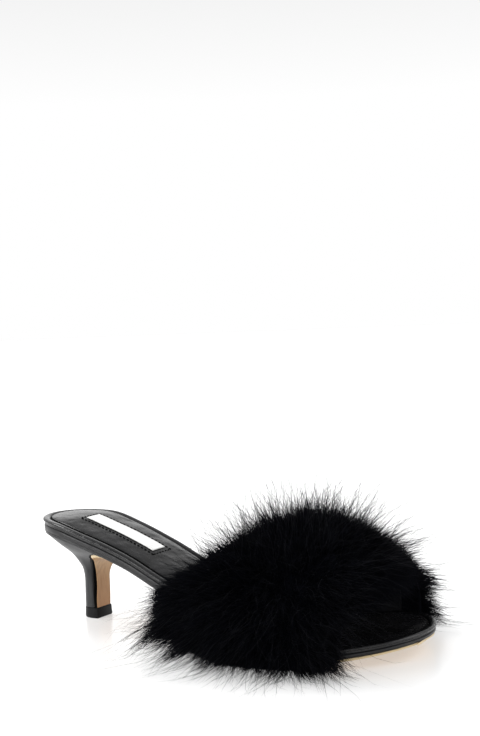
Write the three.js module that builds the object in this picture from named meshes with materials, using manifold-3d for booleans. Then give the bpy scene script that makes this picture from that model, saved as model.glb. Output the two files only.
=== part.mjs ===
// A right-foot kitten heel mule: a leather sole on a low curved heel, with a wide band of deep faux fur.
// Millimetres, +Z up, toe towards +X, lateral side towards -Y. While it is built, x = 0 is the back of the
// heel and z = 0 the floor. The finished group is moved so that its box stands centred on the origin.
import * as THREE from 'three';
import { mergeVertices } from 'three/addons/utils/BufferGeometryUtils.js';
import Module from 'manifold-3d';

const wasm = await Module();
wasm.setup();

// Driving sizes
const footbedLength = 230;
const ballWidth = 80;
const heelHeight = 47;
const toeSpring = 7.5;
const pieceGap = 0.3;

// Sole stack
const outsoleThickness = 1.8;
const midsoleThickness = 4.4;
const midsoleInset = 0.8;
const outsoleInset = 1.3;
const outsoleBevel = 2.4;
const waistInset = 3.5;
const waistFrom = 36;
const waistTo = 125;
const sockThickness = 2.9;
const sockCrown = 1.4;
const bindingWidth = 4.0;
const grooveDepth = 0.7;

// Heel
const breastSetback = 34.8;
const breastFillet = 16;
const breastInset = 0.3;
const heelTipCentre = 0.6;
const topPieceHeight = 5.6;
const topPieceOverhang = 0.35;

// Label on the insole
const labelLength = 45;
const labelWidth = 10.5;
const labelThickness = 0.45;
const labelSetback = 31;

// Upper band and its fur
const bandWall = 1.8;
const bandSideClearance = 0.7;
const instepHeight = 47;
const bandRearAtSole = 111;
const bandRearAtCrest = 138;
const bandFrontAtSole = 195;
const bandFrontAtCrest = 196;
const furDepth = 20;
const furBodyShare = 0.85;
const furOverhang = 13;
const furFloorGap = 1.5;
const medialFurShare = 0.52;
const lockLength = 22;
const lockRadius = 5.8;
const lockRows = 8;
const lockColumns = 15;
const longLock = 1.3;
const fringeLocks = 11;
const fringeLength = 20;

// Outline of the footbed seen from above. at is a share of its length, half and centre are shares of
// the ball width: half the width there, and how far its middle lies towards the medial side.
const outlineTable = [
  { at: 0.0, half: 0.325, centre: 0.004 },
  { at: 0.15, half: 0.325, centre: -0.014 },
  { at: 0.3, half: 0.302, centre: -0.016 },
  { at: 0.42, half: 0.296, centre: -0.04 },
  { at: 0.54, half: 0.372, centre: -0.045 },
  { at: 0.66, half: 0.468, centre: -0.026 },
  { at: 0.78, half: 0.5, centre: 0.0 },
  { at: 0.88, half: 0.528, centre: 0.038 },
  { at: 1.0, half: 0.485, centre: 0.05 },
];
const heelRoundShare = 0.148;
const toeRoundShare = 0.187;

// Underside of the sole seen from the side: rise is a share of the heel height, lift of the toe spring.
const undersideTable = [
  { at: 0.0, rise: 1.0, lift: 0 },
  { at: 0.1, rise: 0.975, lift: 0 },
  { at: 0.2, rise: 0.852, lift: 0 },
  { at: 0.3, rise: 0.685, lift: 0 },
  { at: 0.42, rise: 0.446, lift: 0 },
  { at: 0.54, rise: 0.215, lift: 0 },
  { at: 0.63, rise: 0.055, lift: 0 },
  { at: 0.68, rise: 0, lift: 0 },
  { at: 0.75, rise: 0, lift: 0 },
  { at: 0.81, rise: 0, lift: 0.14 },
  { at: 0.88, rise: 0, lift: 0.46 },
  { at: 0.95, rise: 0, lift: 0.77 },
  { at: 1.0, rise: 0, lift: 1 },
];

// How the layers of the sole thin out towards the toe, as shares of their thickness.
const stackTable = [
  { at: 0.0, outsole: 1.0, midsole: 1.0, sock: 1.0 },
  { at: 0.6, outsole: 1.0, midsole: 0.96, sock: 1.0 },
  { at: 0.74, outsole: 1.0, midsole: 0.78, sock: 0.98 },
  { at: 0.87, outsole: 0.72, midsole: 0.48, sock: 0.92 },
  { at: 1.0, outsole: 0.5, midsole: 0.34, sock: 0.8 },
];

// Heel block in sections that lie level at its foot (0) and along the sole at its seat (1). half is its
// widest half width and breast the one at its front, as shares of the seat's half width. back is the share
// of the seat's reach behind the widest point.
const heelTable = [
  { level: 0.0, half: 0.255, breast: 0.24, back: 0.237 },
  { level: 0.2, half: 0.265, breast: 0.258, back: 0.222 },
  { level: 0.39, half: 0.275, breast: 0.262, back: 0.21 },
  { level: 0.52, half: 0.32, breast: 0.295, back: 0.222 },
  { level: 0.63, half: 0.43, breast: 0.385, back: 0.28 },
  { level: 0.75, half: 0.57, breast: 0.53, back: 0.425 },
  { level: 0.82, half: 0.71, breast: 0.66, back: 0.53 },
  { level: 0.9, half: 0.86, breast: 0.8, back: 0.68 },
  { level: 1.0, half: 0.98, breast: 0.94, back: 0.95 },
];

// Inside crest of the empty band above the floor, as a share of the instep height.
const crestTable = [
  { at: 0.4, rise: 0.84 },
  { at: 0.54, rise: 0.88 },
  { at: 0.6, rise: 0.92 },
  { at: 0.68, rise: 0.98 },
  { at: 0.76, rise: 1.0 },
  { at: 0.84, rise: 0.94 },
  { at: 0.9, rise: 0.83 },
  { at: 0.96, rise: 0.66 },
];

// Depth of the fur from its rear edge (0) to its front edge (1), as shares of the fur depth, over the
// crest and down the sides. The fur is combed forwards, so it stands deepest ahead of the middle.
const furTable = [
  { along: 0.0, crest: 0.2, side: 0.2 },
  { along: 0.07, crest: 0.4, side: 0.72 },
  { along: 0.15, crest: 0.62, side: 1.12 },
  { along: 0.28, crest: 0.86, side: 1.28 },
  { along: 0.43, crest: 1.02, side: 1.3 },
  { along: 0.58, crest: 1.08, side: 1.24 },
  { along: 0.7, crest: 1.0, side: 1.14 },
  { along: 0.82, crest: 0.84, side: 1.0 },
  { along: 0.92, crest: 0.6, side: 0.76 },
  { along: 0.97, crest: 0.4, side: 0.5 },
  { along: 1.0, crest: 0.18, side: 0.2 },
];

// Where the fur's lower edge hangs beside the sole, as a share of the sole's underside height there.
const furHangShare = 0.26;

const black = { leather: 0x1b1b1d, cover: 0x202123, fur: 0x08080a, lift: 0x131314 };
const tanLeather = 0xb98b5c;
const labelWhite = 0xf2f2f0;

// Smooth monotone curve through a table's rows: cubic between rows, with slopes that never overshoot.
function through(rows, key, value, by = 'at') {
  const last = rows.length - 1;
  const v = Math.min(Math.max(value, rows[0][by]), rows[last][by]);
  let i = 0;
  while (i < last - 1 && v > rows[i + 1][by]) i += 1;
  const rise = (k) => (rows[k + 1][key] - rows[k][key]) / (rows[k + 1][by] - rows[k][by]);
  const slope = (k) => {
    if (k === 0) return rise(0);
    if (k === last) return rise(last - 1);
    const before = rise(k - 1);
    const after = rise(k);
    return before * after <= 0 ? 0 : (2 * before * after) / (before + after);
  };
  const span = rows[i + 1][by] - rows[i][by];
  const t = (v - rows[i][by]) / span;
  const h = [2 * t ** 3 - 3 * t ** 2 + 1, t ** 3 - 2 * t ** 2 + t, 3 * t ** 2 - 2 * t ** 3, t ** 3 - t ** 2];
  return h[0] * rows[i][key] + h[1] * span * slope(i) + h[2] * rows[i + 1][key] + h[3] * span * slope(i + 1);
}

const mix = (a, b, t) => a + (b - a) * t;
const ease = (t) => (t <= 0 ? 0 : t >= 1 ? 1 : t * t * (3 - 2 * t));
const steps = (count, from = 0, to = 1) => Array.from({ length: count + 1 }, (_, i) => mix(from, to, i / count));
const share = (x) => x / footbedLength;

// The last: outline, heights of each layer
const heelRound = heelRoundShare * footbedLength;
const toeRound = toeRoundShare * footbedLength;

function endRounding(x) {
  const heelSide = x < heelRound ? (heelRound - x) / heelRound : 0;
  const toeSide = x > footbedLength - toeRound ? (x - footbedLength + toeRound) / toeRound : 0;
  const reach = Math.min(Math.max(heelSide, toeSide), 1);
  return Math.sqrt(1 - reach * reach);
}
const halfWidth = (x) => through(outlineTable, 'half', share(x)) * ballWidth * endRounding(x);
const middle = (x) => through(outlineTable, 'centre', share(x)) * ballWidth;
const underside = (x) =>
  heelHeight * through(undersideTable, 'rise', share(x)) + toeSpring * through(undersideTable, 'lift', share(x));
const soleThickness = (x) => outsoleThickness * through(stackTable, 'outsole', share(x));
const outsoleTop = (x) => underside(x) + soleThickness(x);
const midsoleBottom = (x) => outsoleTop(x) + pieceGap;
const midsoleTop = (x) => midsoleBottom(x) + midsoleThickness * through(stackTable, 'midsole', share(x));
const sockBottom = (x) => midsoleTop(x) + pieceGap;
const sockRim = (x) => sockBottom(x) + sockThickness * through(stackTable, 'sock', share(x));

// Mesh helpers
// Joins rings of equal length into one closed skin. Rings may collapse to a line or a point at the ends.
function skin(rings, { capEnds = false } = {}) {
  const count = rings[0].length;
  const positions = rings.flat(2);
  const faces = [];
  for (let r = 0; r < rings.length - 1; r += 1) {
    for (let i = 0; i < count; i += 1) {
      const j = (i + 1) % count;
      const [a, b, c, d] = [r * count + i, r * count + j, (r + 1) * count + j, (r + 1) * count + i];
      faces.push([a, b, c], [a, c, d]);
    }
  }
  if (capEnds) {
    const top = (rings.length - 1) * count;
    for (let i = 1; i < count - 1; i += 1) {
      faces.push([0, i + 1, i], [top, top + i, top + i + 1]);
    }
  }
  return closedGeometry(positions, faces);
}

// Merges shared corners, drops triangles without area and turns the faces outwards.
function closedGeometry(positions, faces) {
  const loose = new THREE.BufferGeometry();
  loose.setAttribute('position', new THREE.Float32BufferAttribute(positions, 3));
  loose.setIndex(faces.flat());
  const merged = mergeVertices(loose, 1e-4);
  const index = merged.index.array;
  const p = merged.attributes.position;
  const kept = [];
  let volume = 0;
  const corner = [new THREE.Vector3(), new THREE.Vector3(), new THREE.Vector3()];
  for (let f = 0; f < index.length; f += 3) {
    const [a, b, c] = [index[f], index[f + 1], index[f + 2]];
    if (a === b || b === c || a === c) continue;
    corner[0].fromBufferAttribute(p, a);
    corner[1].fromBufferAttribute(p, b);
    corner[2].fromBufferAttribute(p, c);
    volume += corner[0].dot(corner[1].cross(corner[2]));
    kept.push(a, b, c);
  }
  if (volume < 0) {
    for (let f = 0; f < kept.length; f += 3) [kept[f + 1], kept[f + 2]] = [kept[f + 2], kept[f + 1]];
  }
  merged.setIndex(kept);
  return merged;
}

function toManifold(geometry) {
  return new wasm.Manifold(
    new wasm.Mesh({
      numProp: 3,
      vertProperties: new Float32Array(geometry.attributes.position.array),
      triVerts: new Uint32Array(geometry.index.array),
    }),
  );
}

function toGeometry(manifold) {
  const mesh = manifold.getMesh();
  const geometry = new THREE.BufferGeometry();
  geometry.setAttribute('position', new THREE.Float32BufferAttribute(mesh.vertProperties, 3));
  geometry.setIndex(Array.from(mesh.triVerts));
  return geometry;
}

function named(name, geometry, colour, roughness) {
  const faceted = geometry.toNonIndexed();
  faceted.computeVertexNormals();
  const material = new THREE.MeshStandardMaterial({ color: colour, roughness, metalness: 0 });
  const mesh = new THREE.Mesh(faceted, material);
  mesh.name = name;
  return mesh;
}

// Stations from heel to toe, close together where the outline turns at its ends.
const stationCount = 30;
const stations = Array.from({ length: stationCount + 1 }, (_, i) => {
  const turn = (1 - Math.cos((Math.PI * i) / stationCount)) / 2;
  return footbedLength * mix(turn, i / stationCount, 0.12);
});
const spineFrom = heelRound * 0.9;
const spineTo = footbedLength - toeRound * 0.8;

// One ring of the sole's outline. inset moves it in by millimetres, and then towards the spine by a share
// of the way. height gives z from x and from how far across the half width the point lies.
function outlineRing(inset, towardsSpine, height) {
  const place = (x, side) => {
    const edge = new THREE.Vector2(x, middle(x) + side * halfWidth(x));
    const spineX = Math.min(Math.max(x, spineFrom), spineTo);
    const spine = new THREE.Vector2(spineX, middle(spineX));
    const way = spine.clone().sub(edge);
    const moved = edge.addScaledVector(way, inset / way.length());
    moved.lerp(spine, towardsSpine);
    return [moved.x, moved.y, height(moved.x)];
  };
  const lateral = stations.map((x) => place(x, -1));
  const medial = stations.map((x) => place(x, 1)).slice(1, -1).reverse();
  return [...lateral, ...medial];
}
const topShares = [0.3, 0.55, 0.8, 1];
const hiddenShares = [0.45, 1];

// Sole
function buildMidsole() {
  const bulge = 0.35;
  const low = hiddenShares.map((s) => outlineRing(midsoleInset + 0.5, s, midsoleBottom)).reverse();
  const high = hiddenShares.map((s) => outlineRing(midsoleInset + 0.5, s, midsoleTop));
  const at = (level) => (x) => mix(midsoleBottom(x), midsoleTop(x), level);
  const wall = [
    outlineRing(midsoleInset + bulge, 0, at(0)),
    outlineRing(midsoleInset, 0, at(0.25)),
    outlineRing(midsoleInset, 0, at(0.75)),
    outlineRing(midsoleInset + bulge, 0, at(1)),
  ];
  return skin([...low, ...wall, ...high]);
}

// The padded sock ends in a bound edge: a bead along the outline, with a stitched groove inside it.
function crownAt(across) {
  return sockCrown * (1 - (1 - across) ** 2);
}
function buildSock() {
  const low = hiddenShares.map((s) => outlineRing(midsoleInset, s, sockBottom)).reverse();
  const raised = (z) => (x) => sockRim(x) + z;
  const high = topShares.map((s) => outlineRing(bindingWidth + 2.4, s, raised(crownAt(s))));
  const bead = [
    { inset: midsoleInset, z: -sockThickness, onBottom: true },
    { inset: 0, z: -0.58 * sockThickness },
    { inset: 0.35, z: -0.2 * sockThickness },
    { inset: 0.36 * bindingWidth, z: 0 },
    { inset: 0.78 * bindingWidth, z: -0.25 * grooveDepth },
    { inset: bindingWidth, z: -grooveDepth },
    { inset: bindingWidth + 0.7, z: -0.55 * grooveDepth },
    { inset: bindingWidth + 2.4, z: 0.3 },
  ].map((row) => outlineRing(row.inset, 0, row.onBottom ? sockBottom : raised(row.z)));
  return skin([...low, ...bead, ...high]);
}

function buildLabel() {
  const lift = 0.35;
  const ring = (x) => {
    const corner = (side, up) => {
      const y = middle(x) + (side * labelWidth) / 2;
      const across = 1 - Math.abs(y - middle(x)) / halfWidth(x);
      return [x, y, sockRim(x) + crownAt(across) + lift + up];
    };
    return [corner(-1, 0), corner(0, 0), corner(1, 0)].concat(
      [corner(1, labelThickness), corner(0, labelThickness), corner(-1, labelThickness)],
    );
  };
  return skin(steps(8, labelSetback, labelSetback + labelLength).map(ring), { capEnds: true });
}

// Heel
const seatHalf = halfWidth(heelRound) - midsoleInset;
const seatBack = heelRound - midsoleInset;
const heelAxis = 30;
const heelFoot = topPieceHeight + pieceGap;
const heelShare = (key, level) => through(heelTable, key, level, 'level');
const levelAt = (x, z) => (z - heelFoot) / (outsoleTop(x) - heelFoot);
const heelCentre = (level) => mix(heelTipCentre, middle(heelRound), heelShare('half', level));
const breastHalf = (level, x) => Math.min(seatHalf * heelShare('breast', level), halfWidth(x) - midsoleInset);

// Half width of the outsole: the footbed's outline drawn in by the inset, at the toe as well, and by more
// under the waist, where the wrapped edge of the midsole hides it from the side.
function outsoleHalf(x) {
  const ahead = Math.max(x - footbedLength + toeRound, 0);
  const outer = x + (outsoleInset * ahead) / (toeRound - outsoleInset);
  const waist = waistInset * ease((x - waistFrom) / 12) * ease((waistTo - x) / 30);
  return halfWidth(outer) - outsoleInset * endRounding(outer) - waist;
}

// Face of the outsole that shows, seen from the side: along the arch, round a fillet and down the breast.
// Each point holds the outward direction, so that the hidden face lies one thickness behind it.
function outsolePath() {
  const points = [];
  const slopeAt = (x) => (underside(x + 0.1) - underside(x - 0.1)) / 0.2;
  // the fillet touches the arch where its centre lies one radius ahead of the breast
  const centreX = breastSetback + breastFillet;
  let touch = centreX;
  for (let k = 0; k < 6; k += 1) {
    touch = centreX - (breastFillet * slopeAt(touch)) / Math.hypot(1, slopeAt(touch));
  }
  const slope = slopeAt(touch);
  const outward = [slope / Math.hypot(1, slope), -1 / Math.hypot(1, slope)];
  const tip = footbedLength - outsoleInset;
  const sole = stations.filter((x) => x > touch + 2 && x < tip - 0.8);
  for (const x of [tip, ...sole.reverse()]) {
    const s = slopeAt(x);
    const n = Math.hypot(1, s);
    points.push({ x, z: underside(x), out: [s / n, -1 / n], onSole: true });
  }
  const centre = [touch + outward[0] * breastFillet, underside(touch) + outward[1] * breastFillet];
  const from = Math.atan2(-outward[1], -outward[0]);
  const turns = 8;
  for (let k = 0; k <= turns; k += 1) {
    const angle = mix(from, Math.PI, k / turns);
    const dir = [Math.cos(angle), Math.sin(angle)];
    points.push({
      x: centre[0] + dir[0] * breastFillet,
      z: centre[1] + dir[1] * breastFillet,
      out: [-dir[0], -dir[1]],
      onSole: k === 0,
    });
  }
  for (const z of steps(6, centre[1], heelFoot).slice(1)) {
    points.push({ x: breastSetback, z, out: [1, 0], onSole: false });
  }
  return points;
}
const outsoleLine = outsolePath();
// The breast of the heel block, close behind the leather that covers it, from the foot upwards.
const breastLine = outsoleLine
  .filter((p) => !p.onSole)
  .map((p) => ({
    x: p.x - p.out[0] * (outsoleThickness + pieceGap),
    z: p.z - p.out[1] * (outsoleThickness + pieceGap),
  }))
  .reverse();

function buildOutsole() {
  const rings = outsoleLine.map((p) => {
    const thickness = soleThickness(p.x);
    const hidden = [p.x - p.out[0] * thickness, p.z - p.out[1] * thickness];
    const level = p.onSole ? 1 : levelAt(...hidden);
    const soleHalf = outsoleHalf(p.x);
    const half = p.onSole ? soleHalf : Math.min(soleHalf, breastHalf(level, p.x) - breastInset);
    const bevel = Math.min(p.onSole ? outsoleBevel : 0.5, 0.9 * half);
    const centre = mix(heelCentre(level), middle(p.x), level ** 4);
    const edge = [mix(p.x, hidden[0], 0.5), mix(p.z, hidden[1], 0.5)];
    return [
      [p.x, centre - half + bevel, p.z],
      [p.x, centre + half - bevel, p.z],
      [edge[0], centre + half, edge[1]],
      [hidden[0], centre + half, hidden[1]],
      [hidden[0], centre - half, hidden[1]],
      [edge[0], centre - half, edge[1]],
    ];
  });
  return skin(rings, { capEnds: true });
}

// A section of the heel: a flat breast, straight sides to the widest point, and a half ellipse behind it.
function heelSection(level, front, grow = 0) {
  const half = seatHalf * heelShare('half', level) + grow;
  const corner = breastHalf(level, front) + grow;
  const reach = seatBack * heelShare('back', level);
  const widest = Math.min(front - 1.5, mix(heelAxis, heelRound, reach / seatBack));
  const centre = heelCentre(level);
  const chamfer = 0.4;
  const turns = 14;
  const ring = [[front, centre - corner + chamfer], [front - chamfer, centre - corner]];
  for (let k = 0; k <= turns; k += 1) {
    const angle = (Math.PI * k) / turns;
    ring.push([widest - (reach + grow) * Math.sin(angle), centre - half * Math.cos(angle)]);
  }
  ring.push([front - chamfer, centre + corner], [front, centre + corner - chamfer]);
  return ring;
}

function buildHeel() {
  const top = breastLine[breastLine.length - 1];
  const levels = breastLine.map((p) => ({ front: p.x, level: levelAt(p.x, p.z) }));
  const rings = [...levels, { front: top.x, level: 1 }].map(({ front, level }) =>
    heelSection(level, front).map(([x, y]) => [x, y, mix(heelFoot, outsoleTop(Math.max(x, 0)), level)]),
  );
  return skin(rings, { capEnds: true });
}

function buildTopPiece() {
  const rings = [
    { up: 0, grow: 0.2 },
    { up: 0.12, grow: 1 },
    { up: 1, grow: 0.3 },
  ].map(({ up, grow }) => {
    const wider = topPieceOverhang * grow;
    const ring = heelSection(0, breastSetback + wider, wider);
    return ring.map(([x, y]) => [x, y, topPieceHeight * up]);
  });
  return skin(rings, { capEnds: true });
}

// Upper band
// Height of the band's feet: just above the outsole, beside the midsole.
const bandFoot = (x) => outsoleTop(x) + pieceGap;
const crestHeight = (x) => instepHeight * through(crestTable, 'rise', share(x));
const archShape = 0.78;
const archSteps = 26;
const crestLean = 4;

// A point of the arch over the foot. turn runs from 0 at the lateral foot to 1 at the medial one, and
// below 0 or above 1 the arch goes straight down. clear is the distance outside the footbed's outline.
function archPoint(x, turn, clear) {
  const angle = Math.PI * Math.min(Math.max(turn, 0), 1);
  const side = -Math.sign(Math.cos(angle)) * Math.abs(Math.cos(angle)) ** archShape;
  const up = Math.sin(angle) ** archShape;
  const width = halfWidth(x) + clear;
  const foot = bandFoot(x);
  const drop = Math.max(-turn, turn - 1, 0) * (foot - furFoot(x));
  return new THREE.Vector3(
    x,
    middle(x) + side * width + crestLean * up * up,
    foot + (crestHeight(x) + clear - foot) * up - drop,
  );
}

// Direction square to the arch, pointing away from the foot.
function archOut(x, turn, clear) {
  const step = 0.01;
  const across = archPoint(x, turn + step, clear).sub(archPoint(x, turn - step, clear));
  const along = archPoint(x + 1, turn, clear).sub(archPoint(x - 1, turn, clear));
  return across.cross(along).negate().normalize();
}

const sweep = (turn) => Math.sin(Math.PI * Math.min(Math.max(turn, 0), 1));
const bandRear = (turn) => mix(bandRearAtSole, bandRearAtCrest, sweep(turn) ** 1.2);
const bandFront = (turn) => mix(bandFrontAtSole, bandFrontAtCrest, sweep(turn));

// A wall between two surfaces of along (0 to 1, rear to front) and turn, closed round its four edges.
function wallBetween(inner, outer, alongs, turns) {
  const rings = alongs.map((a) => [
    ...turns.map((t) => inner(a, t).toArray()),
    ...[...turns].reverse().map((t) => outer(a, t).toArray()),
  ]);
  const count = turns.length;
  const positions = rings.flat(2);
  const faces = [];
  const ringSize = 2 * count;
  for (let r = 0; r < rings.length - 1; r += 1) {
    for (let i = 0; i < ringSize; i += 1) {
      const j = (i + 1) % ringSize;
      const [a, b, c, d] = [r * ringSize + i, r * ringSize + j, (r + 1) * ringSize + j, (r + 1) * ringSize + i];
      faces.push([a, b, c], [a, c, d]);
    }
  }
  const top = (rings.length - 1) * ringSize;
  for (let i = 0; i < count - 1; i += 1) {
    const [a, b, c, d] = [i, i + 1, ringSize - 2 - i, ringSize - 1 - i];
    faces.push([a, c, b], [a, d, c], [top + a, top + b, top + c], [top + a, top + c, top + d]);
  }
  return closedGeometry(positions, faces);
}

function buildBand() {
  const surface = (clear) => (along, turn) => {
    const x = mix(bandRear(turn), bandFront(turn), along);
    return archPoint(x, turn, clear);
  };
  const turns = steps(archSteps);
  const alongs = steps(10);
  return wallBetween(surface(bandSideClearance), surface(bandSideClearance + bandWall), alongs, turns);
}

// Fur
const furInside = bandSideClearance + bandWall + pieceGap;
// The lower edge of the fur: near the floor beside the ball, higher where the arch lifts the sole.
function furFoot(x) {
  return furFloorGap + furHangShare * Math.max(underside(x) - furFloorGap, 0);
}
const furRear = (turn) => bandRear(turn) - furOverhang;
const furFront = (turn) => bandFront(turn) + furOverhang;

function furThickness(along, turn) {
  const crest = through(furTable, 'crest', along, 'along');
  const side = through(furTable, 'side', along, 'along');
  // the pile is worn shorter past the crest, on the medial side
  const shorter = mix(1, medialFurShare, ease((turn - 0.46) / 0.22));
  return furDepth * shorter * mix(side, crest, sweep(turn) ** 1.5);
}

// A point of the fur at a share of its depth.
function furPoint(along, turn, depthShare) {
  const x = mix(furRear(turn), furFront(turn), along);
  const base = archPoint(x, turn, furInside);
  const out = archOut(x, turn, furInside);
  return base.addScaledVector(out, furThickness(along, turn) * depthShare);
}

// One lock of fur: a curved five-sided spike whose foot is sunk in the fur's body.
function lock(foot, direction, bend, length, radius) {
  const sides = 5;
  const side = new THREE.Vector3(0.31, 0.87, 0.38).cross(direction).normalize();
  const other = new THREE.Vector3().crossVectors(direction, side);
  const rings = [
    { along: 0, width: 1 },
    { along: 0.5, width: 0.72 },
  ].map((row) => {
    const centre = foot.clone().addScaledVector(direction, length * row.along);
    centre.addScaledVector(bend, length * row.along ** 2);
    return Array.from({ length: sides }, (_, k) => {
      const angle = (2 * Math.PI * k) / sides;
      const p = centre.clone().addScaledVector(side, Math.cos(angle) * radius * row.width);
      return p.addScaledVector(other, Math.sin(angle) * radius * row.width);
    });
  });
  const tip = foot.clone().addScaledVector(direction, length).addScaledVector(bend, length);
  const positions = [...rings.flat(), tip].flatMap((p) => p.toArray());
  const faces = [];
  for (let k = 0; k < sides; k += 1) {
    const j = (k + 1) % sides;
    faces.push([k, j, sides + j], [k, sides + j, sides + k], [sides + k, sides + j, 2 * sides]);
  }
  for (let k = 1; k < sides - 1; k += 1) faces.push([0, k + 1, k]);
  return closedGeometry(positions, faces);
}

// A repeatable scatter in -1 to 1 for lock number n.
const scatter = (n, salt) => 2 * ((n * 0.6180339887 + salt * 0.7548776662 + n * salt * 0.318) % 1) - 1;

// The room under the fur, down past its lower edge: the fur is cut to it, so that it clears band and sole.
function roomUnderFur() {
  const turns = [-2, ...steps(archSteps), 3];
  const from = furRear(0) - 6;
  const to = Math.max(furFront(0), furFront(0.5)) + 6;
  const rings = steps(24, from, to).map((x) => turns.map((t) => archPoint(x, t, furInside).toArray()));
  return toManifold(skin(rings, { capEnds: true }));
}

// A slab under the shoe that trims the lowest locks just above the floor.
function floorSlab() {
  const reach = footbedLength;
  const section = [[-reach, furFloorGap], [reach, furFloorGap], [reach, -reach], [-reach, -reach]];
  const ring = (x) => section.map(([y, z]) => [x, y, z]);
  return toManifold(skin([ring(-reach), ring(2 * reach)], { capEnds: true }));
}

// Locks along the front edge that are combed forwards and hang over the toe opening.
function fringe() {
  return steps(fringeLocks - 1, 0.31, 0.86).map((turn, k) => {
    const n = lockRows * lockColumns + k + 1;
    const foot = furPoint(0.88 + 0.02 * scatter(n, 1), turn, furBodyShare * 0.45);
    const out = archOut(furFront(turn), turn, furInside).multiplyScalar(0.25);
    const way = out.add(new THREE.Vector3(0.9, 0.1 * scatter(n, 4), 0.05)).normalize();
    const bend = new THREE.Vector3(0, -0.3 * Math.max(turn - 0.55, 0), -0.5);
    return toManifold(lock(foot, way, bend, fringeLength * (1 + 0.14 * scatter(n, 7)), lockRadius * 0.9));
  });
}

function buildFur() {
  const turns = [-1, ...steps(18), 2];
  const alongs = [0, 0.07, 0.17, 0.31, 0.46, 0.6, 0.74, 0.86, 0.94, 1];
  const inner = (a, t) => furPoint(a, t, -0.03);
  const outer = (a, t) => furPoint(a, t, furBodyShare);
  const body = toManifold(wallBetween(inner, outer, alongs, turns));
  const locks = [];
  for (let row = 0; row < lockRows; row += 1) {
    for (let column = 0; column < lockColumns; column += 1) {
      const n = row * lockColumns + column + 1;
      const along = mix(0.06, 0.95, (row + 0.5 + 0.32 * scatter(n, 1)) / lockRows);
      const turn = mix(-0.16, 1.16, (column + 0.5 + 0.32 * scatter(n, 2)) / lockColumns);
      const foot = furPoint(along, turn, furBodyShare * 0.45);
      const out = archOut(mix(furRear(turn), furFront(turn), along), turn, furInside);
      out.x += 1.1 * (along - 0.45) + 0.2 * scatter(n, 3);
      out.y += 0.25 * scatter(n, 4);
      out.normalize();
      // locks sag with their weight, most of all those in front that lie over the toe opening
      const sag = mix(0.12, 0.5, Math.max(along - 0.6, 0) / 0.4) * sweep(turn);
      const bend = new THREE.Vector3(0.12 * scatter(n, 5), 0.12 * scatter(n, 6), -Math.max(sag, 0.12));
      const stretch = mix(0.7, 1.1, (scatter(n, 7) + 1) / 2) * (n % 5 === 0 ? longLock : 1);
      const length = lockLength * stretch * (furThickness(along, turn) / furDepth);
      locks.push(toManifold(lock(foot, out, bend, Math.max(length, 9), lockRadius)));
    }
  }
  locks.push(...fringe());
  const shaggy = wasm.Manifold.union([body, ...locks]);
  return toGeometry(shaggy.subtract(roomUnderFur()).subtract(floorSlab()));
}

// Assembly
const shoe = new THREE.Group();
shoe.add(
  named('outsole', buildOutsole(), tanLeather, 0.55),
  named('midsole', buildMidsole(), black.leather, 0.42),
  named('insole_sock', buildSock(), black.leather, 0.45),
  named('insole_label', buildLabel(), labelWhite, 0.7),
  named('heel', buildHeel(), black.cover, 0.42),
  named('heel_top_piece', buildTopPiece(), black.lift, 0.5),
  named('upper_band', buildBand(), black.leather, 0.5),
  named('fur_cover', buildFur(), black.fur, 0.9),
);
const box = new THREE.Box3().setFromObject(shoe);
shoe.position.set(-(box.min.x + box.max.x) / 2, -(box.min.y + box.max.y) / 2, -box.min.z);

export default shoe;
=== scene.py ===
"""Looks of a black kitten heel mule with a fur band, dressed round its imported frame. Metres throughout."""
import math

import bmesh
import bpy
import numpy as np
from mathutils import Matrix, Vector


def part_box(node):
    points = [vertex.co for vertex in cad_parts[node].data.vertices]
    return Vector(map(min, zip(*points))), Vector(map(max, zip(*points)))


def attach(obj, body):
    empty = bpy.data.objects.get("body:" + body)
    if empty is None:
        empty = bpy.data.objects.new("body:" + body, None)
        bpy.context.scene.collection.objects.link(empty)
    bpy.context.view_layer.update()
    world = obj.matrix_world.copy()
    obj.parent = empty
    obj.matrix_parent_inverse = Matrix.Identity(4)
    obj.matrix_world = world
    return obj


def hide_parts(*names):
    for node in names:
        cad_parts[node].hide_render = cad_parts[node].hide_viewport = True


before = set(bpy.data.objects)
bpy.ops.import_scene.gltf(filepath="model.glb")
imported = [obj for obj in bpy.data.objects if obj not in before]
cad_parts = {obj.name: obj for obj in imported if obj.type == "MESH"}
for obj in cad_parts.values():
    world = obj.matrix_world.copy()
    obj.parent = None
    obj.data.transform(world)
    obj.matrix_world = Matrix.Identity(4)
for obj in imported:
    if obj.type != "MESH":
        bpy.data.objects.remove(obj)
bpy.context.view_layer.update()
rng = np.random.default_rng(7)

# Sizes that the frame's own pieces were made from
FOOTBED_LENGTH = 0.230
BALL_WIDTH = 0.080
HEEL_HEIGHT = 0.047
TOE_SPRING = 0.0075
PIECE_GAP = 0.0003
OUTSOLE_THICKNESS = 0.0018
OUTSOLE_INSET = 0.0013
OUTSOLE_BEVEL = 0.0024
WAIST_INSET = 0.0035
WAIST_FROM = 0.036
WAIST_TO = 0.125
MIDSOLE_THICKNESS = 0.0044
MIDSOLE_INSET = 0.0008
SOCK_THICKNESS = 0.0029
SOCK_CROWN = 0.0014
BINDING_WIDTH = 0.0040
SEAM_WIDTH = 0.0026
RIM_STEP = 0.0003
BREAST_SETBACK = 0.0348
BREAST_FILLET = 0.016
BREAST_INSET = 0.0003
HEEL_TIP_CENTRE = 0.0006
HEEL_AXIS = 0.030
TOP_PIECE_HEIGHT = 0.0056
TOP_PIECE_OVERHANG = 0.00035
LABEL_LENGTH = 0.045
LABEL_WIDTH = 0.0105
LABEL_THICKNESS = 0.00045
LABEL_SETBACK = 0.031
LABEL_LIFT = 0.00035
BAND_WALL = 0.0018
BAND_CLEARANCE = 0.0007
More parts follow.
